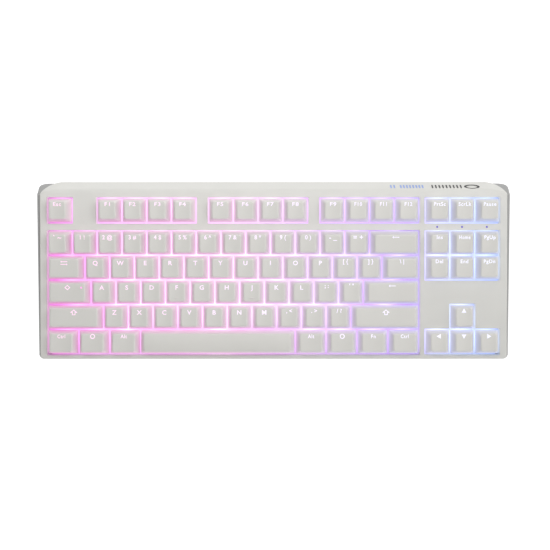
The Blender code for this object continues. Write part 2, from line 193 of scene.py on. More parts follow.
def fill(bm, outer, holes=()):
    """A flat face inside the outer ring and outside the holes."""
    if not holes:
        bm.faces.new(outer)
        return
    edges = []
    for loop in (outer, *holes):
        for a, b in zip(loop, loop[1:] + loop[:1]):
            edges.append(bm.edges.get((a, b)) or bm.edges.new((a, b)))
    bmesh.ops.triangle_fill(bm, use_beauty=True, use_dissolve=False, edges=edges)


def blind(bm, *rings):
    """Walls through the rings and a flat face on the last. Returns the first, which stays open."""
    bridge(bm, *rings)
    fill(bm, rings[-1])
    return rings[0]


def closed(bm, *rings):
    """A solid through the rings, with a flat face on the first and on the last."""
    bridge(bm, *rings)
    fill(bm, rings[0])
    fill(bm, rings[-1])


def rounded(points, radius, steps=4):
    """The polygon with an arc at each corner, inward or outward."""
    out = []
    for i, here in enumerate(points):
        corner = Vector(here)
        before = (Vector(points[i - 1]) - corner).normalized()
        after = (Vector(points[(i + 1) % len(points)]) - corner).normalized()
        half = before.angle(after) / 2
        start, end = corner + before * radius / tan(half), corner + after * radius / tan(half)
        centre = corner + (before + after).normalized() * radius / sin(half)
        for k in range(steps + 1):
            arm = (start - centre).normalized().slerp((end - centre).normalized(), k / steps)
            out.append(tuple(centre + radius * arm))
    return out


def rounded_box(x, v, width, depth, radius, steps=4):
    w, d = width / 2, depth / 2
    return rounded([(x - w, v - d), (x + w, v - d), (x + w, v + d), (x - w, v + d)], radius, steps)


def circle(x, v, radius, steps=20):
    turns = [2 * pi * i / steps for i in range(steps)]
    return [(x + radius * cos(a), v + radius * sin(a)) for a in turns]


def in_scene(name, data):
    """A new object of the data, linked to the scene."""
    made = bpy.data.objects.new(name, data)
    bpy.context.scene.collection.objects.link(made)
    return made


def mesh_from(name, bm, place):
    """The bmesh as a mesh in the row frame, its faces turned outwards."""
    bmesh.ops.recalc_face_normals(bm, faces=bm.faces)
    mesh = bpy.data.meshes.new(name)
    bm.to_mesh(mesh)
    bm.free()
    mesh.transform(place)
    return mesh


def evaluated(made):
    """The object's mesh as its modifiers or its curve make it."""
    bpy.context.view_layer.update()
    return bpy.data.meshes.new_from_object(made.evaluated_get(bpy.context.evaluated_depsgraph_get()))


def piece(name, bm, finish, body, stands_for=(), place=DECK, sharp=40):
    """An object in the row frame that rides on a body, creased where faces meet over sharp degrees."""
    mesh = mesh_from(name, bm, place)
    mesh.materials.append(finish)
    mesh.shade_smooth()
    mesh.set_sharp_from_angle(angle=radians(sharp))
    made = in_scene(name, mesh)
    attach(made, body)
    if stands_for:
        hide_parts(*stands_for)
    return made


def soften(made, width, segments=2, angle=35):
    """Round a piece's sharp edges."""
    edge = made.modifiers.new("edge", "BEVEL")
    edge.width = width
    edge.segments = segments
    edge.limit_method = "ANGLE"
    edge.angle_limit = radians(angle)
    edge.harden_normals = False


def joined(mesh):
    """A bmesh of the mesh with its double points joined."""
    bm = bmesh.new()
    bm.from_mesh(mesh)
    bmesh.ops.remove_doubles(bm, verts=bm.verts, dist=SAME_POINT)
    return bm


def clean_copy(node):
    """A bmesh of a CAD node with its flat faces whole again."""
    bm = joined(frame["nodes"][node].data)
    bmesh.ops.dissolve_limit(bm, angle_limit=radians(0.5), verts=bm.verts, edges=bm.edges)
    return bm


# ---------------- materials


def feed(tree, made, inputs):
    """Link each socket to the node's input of that name or number, and set any other value there."""
    for key, value in inputs.items():
        if isinstance(value, bpy.types.NodeSocket):
            tree.links.new(value, made.inputs[key])
        else:
            made.inputs[key].default_value = value


def node(tree, kind, output, inputs, **settings):
    """An output of a new node."""
    made = tree.nodes.new("ShaderNode" + kind)
    for key, value in settings.items():
        setattr(made, key, value)
    feed(tree, made, inputs)
    return made.outputs[output]


def material(name, recipe, *more):
    """A material whose shader gets the inputs that the recipe works out from a point's place."""
    made = bpy.data.materials.new(name)
    made.use_nodes = True
    tree = made.node_tree
    place = node(tree, "TexCoord", "Object", {})
    feed(tree, tree.nodes["Principled BSDF"], recipe(tree, place, *more))
    return made


def noise(tree, place, scale, detail=2.0):
    return node(tree, "TexNoise", "Fac", {"Vector": place, "Scale": scale, "Detail": detail})


def blend(tree, share, low, high):
    low, high = (tone if isinstance(tone, bpy.types.NodeSocket) else (*tone, 1) for tone in (low, high))
    return node(tree, "Mix", 2, {0: share, 6: low, 7: high}, data_type="RGBA")


def spread(tree, value, low, high, to_low=0.0, to_high=1.0):
    return node(tree, "MapRange", 0, {0: value, 1: low, 2: high, 3: to_low, 4: to_high})


def varied(tree, cloud, low, high):
    """A noise, which keeps near its middle, stretched to run from low to high."""
    return spread(tree, cloud, 0.3, 0.7, low, high)


def maths(tree, operation, a, b=0.0):
    return node(tree, "Math", 0, {0: a, 1: b}, operation=operation)


def dot(tree, vector, axis):
    return node(tree, "VectorMath", "Value", {0: vector, 1: axis}, operation="DOT_PRODUCT")


def facing(tree, axis):
    """1 where the surface faces along the axis, and 0 where it is square to it."""
    return dot(tree, node(tree, "NewGeometry", "Normal", {}), axis)


def bumps(tree, height, strength, depth):
    return node(tree, "Bump", "Normal", {"Height": height, "Strength": strength, "Distance": depth})


def ramp(tree, value, stops):
    shown = node(tree, "ValToRGB", "Color", {0: value})
    bar = shown.node.color_ramp.elements
    while len(bar) < len(stops):
        bar.new(0.5)
    for element, (at, colour) in zip(bar, stops):
        element.position = at
        element.color = (*colour, 1)
    return shown


def toned(colour, share):
    return tuple(part * share for part in colour)


def glowing(colour, strength):
    return {"Emission Color": colour, "Emission Strength": strength}


# Colour of the light along the keyboard, left to right: on the plate far from an LED and close to it, through
# the walls of the keycaps, and through the legends
FAR_GLOW = (
    (0.0, (0.66, 0.12, 0.60)), (0.08, (0.80, 0.32, 0.88)), (0.4, (0.86, 0.46, 0.90)),
    (0.80, (0.42, 0.20, 0.88)), (0.86, (0.52, 0.56, 0.98)), (1.0, (0.26, 0.36, 0.95)),
)
NEAR_GLOW = (
    (0.0, (0.82, 0.38, 0.84)), (0.08, (0.96, 0.68, 1.0)), (0.2, (1.0, 0.90, 1.0)), (0.5, (1.0, 0.96, 1.0)),
    (0.80, (0.80, 0.72, 1.0)), (0.86, (0.86, 1.0, 1.0)), (1.0, (0.70, 0.88, 1.0)),
)
WALL_GLOW = (
    (0.0, (0.80, 0.12, 0.60)), (0.4, (0.90, 0.34, 0.80)), (0.7, (0.60, 0.44, 0.95)), (1.0, (0.36, 0.48, 1.0)),
)
LEGEND_GLOW = ((0.0, (1.0, 0.62, 0.84)), (0.5, (0.92, 0.80, 1.0)), (1.0, (0.80, 0.84, 1.0)))
# Colour of the painted light that brightens the upper walls round the keys, where the keys shade them
WELL_PAINTED_LIGHT = (0.66, 0.63, 0.61)
# Half width and half depth of the lit field, and the band at its edge in which the light ends
WELL_X, WELL_V, WELL_BAND = 0.177, 0.061, 0.001
DECK_NORMAL, UP_DECK = (0, -sin(TILT), cos(TILT)), (0, cos(TILT), sin(TILT))
# How far up a keycap its walls are lit, the least share of the light there, and how fast it falls
WALL_REACH, WALL_LEAST, WALL_FALL = 0.0095, 0.3, 1.8


def x_of(tree, place):
    return node(tree, "SeparateXYZ", "X", {0: place})


def glow_at(tree, place, stops):
    """The glow's colour at this place from the left edge of the key field to the right."""
    along = spread(tree, x_of(tree, place), from_units(0), from_units(FIELD_UNITS))
    return ramp(tree, along, stops)


def over_plate(tree, place):
    """Height over the switch plate, in metres."""
    return maths(tree, "SUBTRACT", dot(tree, place, DECK_NORMAL), ORIGIN.z)


def grained(tree, place, colour, rough, grain=2600.0, strength=0.25):
    """Moulded plastic: faint mottling in colour and shine, and a fine spark-eroded grain."""
    cloud = noise(tree, place, 55.0, 3.0)
    speck = noise(tree, place, grain)
    return {
        "Base Color": blend(tree, cloud, toned(colour, 0.965), toned(colour, 1.03)),
        "Roughness": varied(tree, speck, rough - 0.05, rough + 0.06),
        "Normal": bumps(tree, speck, strength, 0.00003),
    }


def plastic(tree, place, colour, rough):
    return {**grained(tree, place, colour, rough), "Specular IOR Level": 0.4}


def case_plastic(tree, place):
    """The top frame's plastic. Its walls round the keys carry painted light: at their foot a glow like the
    plate below them, and higher up a plain pale glow that brightens them where the keys shade them.
    """
    strength = WELL_LIGHT
    for low, high, value in (
        (0.6, 0.4, facing(tree, DECK_NORMAL)),
        (WELL_X + WELL_BAND, WELL_X, maths(tree, "ABSOLUTE", x_of(tree, place))),
        (WELL_V + WELL_BAND, WELL_V, maths(tree, "ABSOLUTE", dot(tree, place, UP_DECK))),
    ):
        strength = maths(tree, "MULTIPLY", spread(tree, value, low, high), strength)
    rise = spread(tree, over_plate(tree, place), FRAME_TOP * 0.2, FRAME_TOP * 0.55)
    return {
        **plastic(tree, place, CASE_COLOUR, 0.5),
        **glowing(blend(tree, rise, glow_at(tree, place, FAR_GLOW), WELL_PAINTED_LIGHT), strength),
    }


def cap_plastic(tree, place):
    """Keycap plastic. Its walls carry painted glow for the light passing through them from below, most at the
    skirt, and faces turned to the front get extra painted glow.
    """
    low = spread(tree, over_plate(tree, place), SKIRT, SKIRT + WALL_REACH, 1.0, WALL_LEAST)
    side = spread(tree, facing(tree, DECK_NORMAL), 0.5, 0.9, WALL_LIGHT, TOP_LIGHT)
    front = spread(tree, facing(tree, (0, -1, 0)), 0.3, 0.8, 0.0, FRONT_LIGHT)
    passed = maths(tree, "MULTIPLY", maths(tree, "POWER", low, WALL_FALL), side)
    return {
        **grained(tree, place, CAP_COLOUR, 0.46, 1900.0, 0.18),
        **glowing(glow_at(tree, place, WALL_GLOW), maths(tree, "ADD", passed, front)),
    }


def legend_plastic(tree, place):
    """Clear plastic of the legends, lit from behind, a little unevenly."""
    light = varied(tree, noise(tree, place, 700.0), LEGEND_LIGHT * 0.92, LEGEND_LIGHT * 1.08)
    return {
        **glowing(glow_at(tree, place, LEGEND_GLOW), light),
        "Base Color": (0.32, 0.30, 0.32, 1),
        "Roughness": 0.4,
    }


def lit_plate(tree, place):
    """White powder coat with the LEDs' light painted on as glow: nearly white close to an LED, and deep in
    colour between them.
    """
    near = node(tree, "Attribute", "Fac", {}, attribute_name="led")
    light = spread(tree, near, 0.0, 1.0, PLATE_FAR, PLATE_NEAR)
    tones = (glow_at(tree, place, stops) for stops in (FAR_GLOW, NEAR_GLOW))
    pebble = noise(tree, place, 1500.0, 3.0)
    return {
        **glowing(blend(tree, near, *tones), light),
        "Normal": bumps(tree, pebble, 0.3, 0.00005),
        "Base Color": blend(tree, pebble, (0.46, 0.46, 0.46), (0.54, 0.54, 0.54)),
        "Roughness": 0.4,
    }


def milky_nylon(tree, place):
    """Clear switch housings that carry the LEDs' light up."""
    plain = grained(tree, place, (0.8, 0.8, 0.84), 0.3, 900.0)
    return {**plain, **glowing(glow_at(tree, place, NEAR_GLOW), HOUSING_LIGHT)}


def solder_mask(tree, place):
    """Black board with a faint weave of glass under it."""
    weave = node(tree, "TexWave", "Fac", {"Vector": place, "Scale": 600.0, "Distortion": 2.0})
    return {
        "Base Color": blend(tree, weave, (0.012, 0.012, 0.014), (0.022, 0.022, 0.026)),
        "Roughness": varied(tree, noise(tree, place, 400.0), 0.25, 0.4),
    }


def plated_steel(tree, place):
    """Drawn steel with fine streaks along it."""
    drawn = node(tree, "Mapping", 0, {0: place, 3: (300.0, 40.0, 2400.0)})
    streak = noise(tree, drawn, 2.0, 4.0)
    return {
        "Base Color": blend(tree, streak, (0.50, 0.50, 0.52), (0.66, 0.66, 0.67)),
        "Roughness": varied(tree, streak, 0.22, 0.38),
        "Metallic": 1.0,
    }


def rubber(tree, place):
    """Black rubber with a little dust on it."""
    dust = noise(tree, place, 300.0, 4.0)
    return {
        "Base Color": blend(tree, dust, (0.018, 0.018, 0.018), (0.034, 0.034, 0.034)),
        "Normal": bumps(tree, noise(tree, place, 2200.0), 0.4, 0.00008),
        "Roughness": varied(tree, dust, 0.75, 0.9),
    }


def ink(tree, place, colour):
    """Pad-printed ink, slightly uneven."""
    patch = noise(tree, place, 500.0, 3.0)
    return {
        "Base Color": blend(tree, patch, toned(colour, 0.8), toned(colour, 1.2)),
        "Roughness": 0.5,
    }


def light_pipe(tree, place, colour, light):
    """The tinted plastic of a small lamp."""
    tone = blend(tree, noise(tree, place, 900.0), toned(colour, 0.85), colour)
    return {"Base Color": tone, "Roughness": 0.15, **glowing(tone, light)}


def pale_floor(tree, place):
    """A floor that glows, so that it stays white and shadowless."""
    return {
        "Base Color": blend(tree, noise(tree, place, 3.0), (0.28, 0.28, 0.28), (0.32, 0.32, 0.32)),
        "Roughness": 0.9,
        **glowing((1, 1, 1, 1), FLOOR_GLOW),
    }


CASE_COLOUR = (0.63, 0.625, 0.595)
# The tray and feet are the same white plastic as the frame, coloured mid grey as painted shade on their steep
# sides
TRAY_SHADE_GREY = (0.34, 0.34, 0.335)
CAP_COLOUR = (0.62, 0.61, 0.58)
# Strengths of the painted glow on keycap walls, on their tops, and added on faces turned to the front
WALL_LIGHT, TOP_LIGHT, FRONT_LIGHT = 0.36, 0.0, 0.19
LEGEND_LIGHT = 0.84
# Strengths of the painted glow: on the plate far from an LED and close to one, and on the frame's walls round
# the keys
PLATE_FAR, PLATE_NEAR, WELL_LIGHT = 0.78, 1.08, 0.23
HOUSING_LIGHT = 0.78
FLOOR_GLOW = 0.95
case_white = material("case_white", case_plastic)
case_grey = material("case_grey", plastic, TRAY_SHADE_GREY, 0.55)
cap_white = material("cap_white", cap_plastic)
legend_lit = material("legend_lit", legend_plastic)
plate_lit = material("plate_lit", lit_plate)
nylon = material("housing_nylon", milky_nylon)
laminate = material("board_laminate", solder_mask)
steel = material("socket_steel", plated_steel)
pad_rubber = material("pad_rubber", rubber)
black_ink = material("black_ink", ink, (0.03, 0.03, 0.03))
blue_ink = material("blue_ink", ink, (0.26, 0.36, 0.66))
stem_plastic = material("stem_plastic", plastic, (0.35, 0.12, 0.04), 0.35)
caps_lamp = material("caps_lamp", light_pipe, (1.0, 0.30, 0.72), 0.8)
indicator_lamp = material("indicator_lamp", light_pipe, (0.10, 0.08, 0.42), 0.5)
floor_white = material("floor_white", pale_floor)

# ---------------- keycaps and stems

CAP_GAP = 0.00095
CAP_TAPER = 0.0059
CAP_WALL = 0.0013
CAP_ROOF = 0.0018
DISH = 0.0006
CROWN = 0.0005
EDGE = 0.0009
BULGE = 0.00015
LIP = 0.00015
BOSS_OUTER, BOSS_INNER, BOSS_END = (0.00245, 0.00205), (0.0021, 0.0017), 0.0084
ARC_STEPS, SIDE_STEPS = 4, 6


def round_plan(half_x, half_v, radius):
    """A rounded rectangle about 0, 0, with points along its sides too."""
    arcs = []
    for k, (side_x, side_v) in enumerate(((1, -1), (1, 1), (-1, 1), (-1, -1))):
        centre = Vector((side_x * (half_x - radius), side_v * (half_v - radius)))
        turns = [pi / 2 * (k - 1 + i / ARC_STEPS) for i in range(ARC_STEPS + 1)]
        arcs.append([centre + radius * Vector((cos(a), sin(a))) for a in turns])
    points = []
    for arc, after in zip(arcs, arcs[1:] + arcs[:1]):
        points += arc + [arc[-1].lerp(after[0], i / SIDE_STEPS) for i in range(1, SIDE_STEPS)]
    return points


class Cap:
    """The surfaces of one keycap, about the middle of its cell."""

    def __init__(self, key):
        self.depth, self.setback, self.front, self.rear = CAP_TOPS[key["row"]]
        self.base = ((key["width"] - CAP_GAP) / 2, (PITCH - CAP_GAP) / 2)
        self.top = (self.base[0] - CAP_TAPER / 2, self.depth / 2)
        self.convex = key["name"] == "space_bar"
        self.large = len(key["legend"]) == 1 or key["legend"] in LARGE_SYMBOLS

    def top_w(self, x, v):
        """Height of the top: tilted, and dished across or, on the space bar, crowned."""
        along_v = v - self.setback
        flat = SKIRT + (self.front + self.rear) / 2 + (self.rear - self.front) * along_v / self.depth
        if self.convex:
            return flat - CROWN * (along_v / self.top[1]) ** 2
        share = min(abs(x) / self.top[0], 1)
        return flat - DISH * (1 - share * share)

    def legend_v(self):
        return self.setback + self.depth * (0.5 - LEGEND_FROM_REAR) + (0 if self.large else WORD_RISE)

    def base_ring(self, inset, w, radius=0.0010):
        plan = round_plan(self.base[0] - inset, self.base[1] - inset, radius)
        return [Vector((p.x, p.y, w)) for p in plan]

    def top_ring(self, inset, drop=0.0, radius=0.0020):
        plan = round_plan(self.top[0] - inset, self.top[1] - inset, max(radius - inset, 0.0004))
        return [Vector((p.x, p.y + self.setback, self.top_w(p.x, p.y + self.setback) - drop)) for p in plan]


def keycap_mesh(key):
    """A hollow cap with rounded edges, a dished top and a socket boss inside."""
    cap, bm = Cap(key), bmesh.new()
    base, crown, rim = cap.base_ring(0, SKIRT), cap.top_ring(0), cap.top_ring(EDGE)
    loops = [[p + Vector((0, 0, LIP)) for p in base]]
    for share in (0.3, 0.6):
        bulge = 1 + BULGE * sin(pi * share) / cap.base[1]
        wall = [a.lerp(b, share) for a, b in zip(base, crown)]
        loops.append([Vector((p.x * bulge, p.y * bulge, p.z)) for p in wall])
    shoulder = [b.lerp(a, EDGE / (b.z - a.z)) for a, b in zip(base, crown)]
    for t in (0.0, 0.3, 0.55, 0.8, 1.0):
        curve = zip(shoulder, crown, rim)
        loops.append([(1 - t) ** 2 * low + 2 * t * (1 - t) * mid + t * t * high for low, mid, high in curve])
    for share in (0.78, 0.5, 0.25):
        plan = [(p.x * share, cap.setback + (p.y - cap.setback) * share) for p in rim]
        loops.append([(x, v, cap.top_w(x, v)) for x, v in plan])
    rings = [ring(bm, loop) for loop in loops]
    bridge(bm, *rings)
    fan(bm, rings[-1], (0, cap.setback, cap.top_w(0, cap.setback)))

    roof = cap.top_ring(CAP_WALL, CAP_ROOF)
    boss = [Vector((p.x, p.y - cap.setback, 0)).normalized() for p in roof]
    roof_w = cap.top_w(0, 0) - CAP_ROOF
    foot = cap.base_ring(CAP_WALL, SKIRT)
    inside = [cap.base_ring(LIP, SKIRT), foot, [a.lerp(b, 0.55) for a, b in zip(foot, roof)], roof]
    boss_rings = ((BOSS_OUTER, roof_w), (BOSS_OUTER, BOSS_END), (BOSS_INNER, BOSS_END), (BOSS_INNER, roof_w))
    for (half_x, half_v), w in boss_rings:
        inside.append([(d.x * half_x, d.y * half_v, w) for d in boss])
    inner_rings = [ring(bm, loop) for loop in inside]
    bridge(bm, rings[0], *inner_rings)
    fan(bm, inner_rings[-1], (0, 0, roof_w))
    bmesh.ops.translate(bm, verts=bm.verts, vec=(key["x"], key["v"], 0))
    return bm


STEM_W, STEM_D = 0.0025, 0.0021
CROSS_LONG, CROSS_THIN = 0.0016, 0.0006
STEM_LOW, STEM_SHOULDER, STEM_HIGH = 0.0006, 0.0058, 0.0112


def quartered(corner, x, v):
    """The corner's points in all four quarters round x, v."""
    points = []
    for side_x, side_v in ((1, 1), (-1, 1), (-1, -1), (1, -1)):
        points += [(x + side_x * px, v + side_v * pv) for px, pv in corner][::side_x * side_v]
    return points


def stem(bm, x, v):
    """A slider with a cross-shaped post on top."""
    t = CROSS_THIN
    block = quartered(((STEM_W, t), (STEM_W, STEM_D), (t, STEM_D)), x, v)
    cross = quartered(((CROSS_LONG, t), (t, t), (t, CROSS_LONG)), x, v)
    closed(bm, level(bm, block, STEM_LOW), level(bm, block, STEM_SHOULDER),
           level(bm, cross, STEM_SHOULDER), level(bm, cross, STEM_HIGH))


def build_keys():
    for key in KEYS:
        piece(f"keycap_{key['name']}", keycap_mesh(key), cap_white, key["body"], [key["body"]])
    for body in sorted({key["body"] for key in KEYS}):
        bm = bmesh.new()
        for key in KEYS:
            if key["body"] == body:
                stem(bm, key["x"], key["v"])
        piece(body.replace("key_", "stem_", 1), bm, stem_plastic, body)


# ---------------- legends

# Height and relative width of a single letter, and of longer legends
LETTER_SIZE, WORD_SIZE = (0.0034, 1.05), (0.0028, 0.97)
WORD_STRETCH = {"Esc": 1.1, "Alt": 0.9, "Ctrl": 0.86, "Home": 0.82, **{f"F{n}": 1.3 for n in range(1, 10)}}
FAINT_PAIRS, FAINT_GROWTH, PAIR_GROWTH = ("` ~", "- _", "= +"), 1.4, 1.13
LARGE_SYMBOLS = ("@tab_arrows", "@diamond_arrow", "@outline_arrow")
BOLD = 0.022
LEGEND_FROM_REAR, WORD_RISE = 0.235, 0.0012
LEGEND_PROUD, LEGEND_DEEP = 0.00004, 0.0003
# Half length and half thickness of a drawn arrow, in millimetres
ARROW_HALF, STROKE_HALF = 2.7, 0.275
MILLIMETRE = 0.001


def arrow(head):
    """A horizontal arrow about 0, 0 that points left, in millimetres."""
    neck = head - ARROW_HALF
    return [(-ARROW_HALF, 0), (neck, -head), (neck, -STROKE_HALF), (ARROW_HALF, -STROKE_HALF),
            (ARROW_HALF, STROKE_HALF), (neck, STROKE_HALF), (neck, head)]


def block_arrow(tip, half, root, shaft, foot):
    """An arrow that points up: its tip, the half width and height of its head's root, then its shaft."""
    right = [(half, root), (shaft, root), (shaft, foot)]
    return [(0, tip), *right, *((-x, v) for x, v in reversed(right))]


def diamond(half_x, half_v):
    return [(0, half_v), (half_x, 0), (0, -half_v), (-half_x, 0)]


def symbol(name):
    """Outlines of a drawn symbol about its middle, in millimetres. One inside another is a hole."""
    if name == "left_arrow":
        return [arrow(1.1)]
    if name == "tab_arrows":
        high = [(x, v + 1.0) for x, v in arrow(0.85)]
        return [high, [(-x, v - 2.0) for x, v in reversed(high)]]
    if name == "outline_arrow":
        return [block_arrow(2.3, 2.9, -0.2, 1.3, -2.0), block_arrow(1.5, 1.3, 0.35, 0.7, -1.45)]
    if name == "diamond_arrow":
        return [diamond(2.3, 2.0), diamond(1.35, 1.2)]
    if name == "ring":
        return [circle(0, 0, 1.9, 28), circle(0, 0, 1.2, 28)]
    turn = {"up": 0, "left": 90, "down": 180, "right": 270}[name]
    spin = Matrix.Rotation(radians(turn), 2)
    return [[spin @ Vector(point) for point in ((0, 1.9), (-1.8, -1.4), (1.8, -1.4))]]


def outline_curve(outlines):
    made = bpy.data.curves.new("legend", "CURVE")
    made.dimensions = "2D"
    made.fill_mode = "BOTH"
    for points in outlines:
        line = made.splines.new("POLY")
        line.points.add(len(points) - 1)
        for point, (x, v) in zip(line.points, points):
            point.co = (x * MILLIMETRE, v * MILLIMETRE, 0, 1)
        line.use_cyclic_u = True
    return made


def text_curve(words):
    made = bpy.data.curves.new("legend", "FONT")
    made.body = words
    made.resolution_u = 3
    made.offset = BOLD
    made.space_character = 1.15
    made.space_word = 0.6
    return made


def flat_mesh(curve, thickness):
    """The curve's filled shape as a closed bmesh of that thickness."""
    curve.extrude = thickness / 2
    holder = in_scene("legend", curve)
    mesh = evaluated(holder)
    bpy.data.objects.remove(holder)
    bpy.data.curves.remove(curve)
    bm = joined(mesh)
    bpy.data.meshes.remove(mesh)
    return bm


def capital():
    """Height and middle of a capital letter at text size 1."""
    bm = flat_mesh(text_curve("H"), 0.1)
    low, high = extent(vert.co for vert in bm.verts)
    bm.free()
    return high.y - low.y, (low.y + high.y) / 2


CAPITAL_HEIGHT, CAPITAL_MIDDLE = capital()


def legend_mesh(words):
    """A legend's closed solid about its middle, top at z 0.5 and bottom at -0.5."""
    if words.startswith("@"):
        bm = flat_mesh(outline_curve(symbol(words[1:])), 1.0)
    else:
        bm = flat_mesh(text_curve(words), 1.0)
        low, high = extent(vert.co for vert in bm.verts)
        height, stretch = LETTER_SIZE if len(words) == 1 else WORD_SIZE
        stretch = WORD_STRETCH.get(words, stretch)
        growth = FAINT_GROWTH if words in FAINT_PAIRS else PAIR_GROWTH if " " in words else 1
        scale = height / CAPITAL_HEIGHT * growth
        for vert in bm.verts:
            vert.co.x = (vert.co.x - (low.x + high.x) / 2) * scale * stretch
            vert.co.y = (vert.co.y - CAPITAL_MIDDLE) * scale
    return bm


def build_legend(key):
    """The legend, set in the cap's top and following its dish."""
    cap, bm = Cap(key), legend_mesh(key["legend"])
    middle = cap.legend_v()
    for vert in bm.verts:
        x, v = vert.co.x, vert.co.y + middle
        lift = LEGEND_PROUD if vert.co.z > 0 else -LEGEND_DEEP
        vert.co = (key["x"] + x, key["v"] + v, cap.top_w(x, v) + lift)
    piece(f"legend_{key['name']}", bm, legend_lit, key["body"], sharp=30)


def build_legends():
    for key in KEYS:
        if key["legend"]:
            build_legend(key)


def on_cap(bm, key, plan, lift):
    """A ring that follows the cap's top, lifted over it."""
    cap = Cap(key)
    return ring(bm, [(key["x"] + x, key["v"] + v, cap.top_w(x, v) + lift) for x, v in plan])


HOMING_V, HOMING_SIZE, HOMING_RADIUS = -0.0042, (0.0034, 0.0007), 0.00034
CAPS_LAMP_X, CAPS_LAMP_RADIUS = 0.0106, 0.0006


def build_homing_bars():
    """The bars on F and J that the fingers find."""
    for name in ("f", "j"):
        key, bm = KEY_NAMED[name], bmesh.new()
        plan = rounded_box(0, 0, *HOMING_SIZE, HOMING_RADIUS)
        closed(bm, *(on_cap(bm, key, [(x * share, HOMING_V + v * share) for x, v in plan], lift)
                     for share, lift in ((1.0, -0.0002), (1.0, 0.0002), (0.8, 0.00034))))
        piece(f"homing_bar_{name}", bm, cap_white, key["body"])


def build_caps_lamp():
    """The lit dot of Caps Lock."""
    key, bm = KEY_NAMED["caps_lock"], bmesh.new()
    v = Cap(key).legend_v()
    closed(bm, *(on_cap(bm, key, circle(CAPS_LAMP_X, v, CAPS_LAMP_RADIUS * share, 16), lift)
                 for share, lift in ((1.0, -0.0003), (1.0, 0.00003), (0.5, 0.00008))))
    piece("caps_lock_lamp", bm, caps_lamp, key["body"])


# ---------------- plate, switches and board

LED_BACK, LED_REACH = 0.0048, 0.0062
# The longest edge wanted in the plate, and the most rounds of cutting
FINE, MOST_CUTS = 0.0026, 7


def build_plate():
    """The CAD plate cut finer, each point marked with how close it is to an LED."""
    bm = joined(frame["nodes"]["switch_plate"].data)
    for _ in range(MOST_CUTS):
        long = [e for e in bm.edges if e.calc_length() > FINE]
        if not long:
            break
        bmesh.ops.subdivide_edges(bm, edges=long, cuts=1)
        bmesh.ops.triangulate(bm, faces=[f for f in bm.faces if len(f.verts) > 3])
    layer = bm.verts.layers.float.new("led")
    turn = DECK.inverted()
    leds = [(key["x"], key["v"] + LED_BACK) for key in KEYS]
    for vert in bm.verts:
        here = turn @ vert.co
        square = min((here.x - x) ** 2 + (here.y - v) ** 2 for x, v in leds)
        vert[layer] = exp(-square / LED_REACH ** 2)
    piece("switch_plate_lit", bm, plate_lit, CHASSIS, ["switch_plate"], place=Matrix())


def dress_cad():
    """CAD nodes whose shape is already right get their own material."""
    for name, finish in (("switch_housings", nylon), ("circuit_board", laminate)):
        mesh = frame["nodes"][name].data
        mesh.materials.clear()
        mesh.materials.append(finish)


# ---------------- case

# An outline of the case is given by its half width, front, rear, clipped front corner and rounded rear corner
CORNER_START, CORNER_STEPS, CLIP_BEND, POINT_GAP = 0.0618, 14, 0.35, 0.0001
FRAME_POWER, TRAY_POWER, FLOOR_POWER = 1.65, 3.0, 2.0
PARTING_RISE, PARTING_DROP, PARTING_GAP = 0.0051, 0.94, 0.0005
CASE_FRONT = -0.0652
FRAME_HALF, FRAME_REAR, FRAME_CLIP, FRAME_CORNER = 0.1800, 0.0723, 0.0020, 0.0150
RIM_EASE, RIM_LIFT = 0.0002, 0.0003
RIM_INSIDE = (0.1784, -0.0632, 0.0702, FRAME_CLIP, 0.0137)
CEILING = (0.1778, -0.0628, 0.0625, FRAME_CLIP, 0.0110)
WINDOW_GAP, WINDOW_WALL, WINDOW_EASE, FRAME_SKIN = 0.00065, 0.0008, 0.0003, 0.0020
# How far the outermost windows' sides stand in from the others' rule
LEFT_SHY, RIGHT_SHY, REAR_SHY = 0.0003, 0.0005, 0.0005
WINDOWS = (
    *((left, right, "function", "function") for left, right in
      ((0, 1), (2, 6), (6.5, 10.5), (11, 15), (15.25, 18.25))),
    (0, 15, "space", "number"),
    (15.25, 18.25, "tab", "number"),
)
ARROW_UNITS = (15.25, 16.25, 17.25, 18.25)
# The top frame's upper edge, from the flat outwards: inset at the sides, its rear line, and drop
ROOF_EDGE = (
    (0.0011, 0.0626, 0.0),
    (0.0010, 0.0636, 0.00004),
    (0.0008, 0.0646, 0.0002),
    (0.0006, 0.0656, 0.0006),
    (0.0004, 0.0664, 0.0014),
)
LAMP_UNITS = (15.725, 16.725, 17.725)
LAMP_V = FIELD_V + 1.97 * PITCH
LAMP_RADIUS = 0.0008


def outline(half, front, rear, clip, corner, power, start=CORNER_START):
    """Plan of the case: clipped front corners, and rear corners rounded from start back to the rear."""
    bend = clip * CLIP_BEND
    right = [(half - clip, front), (half - bend, front + bend), (half, front + clip)]
    # A point where the parting line turns down, so that it stays straight up to there
    right.append((half, min(CORNER_START, start - POINT_GAP)))
    for i in range(CORNER_STEPS + 1):
        angle = pi / 2 * i / CORNER_STEPS
        across = max(cos(angle), 0) ** (2 / power)
        back = sin(angle) ** (2 / power)
        right.append((half - corner + corner * across, start + (rear - start) * back))
    return right + [(-x, v) for x, v in reversed(right)]


def parting(v):
    """Height over the plate of the joint between the case halves."""
    if v < CORNER_START:
        return PARTING_RISE * (v - CASE_FRONT) / (CORNER_START - CASE_FRONT)
    return PARTING_RISE - PARTING_DROP * (v - CORNER_START)


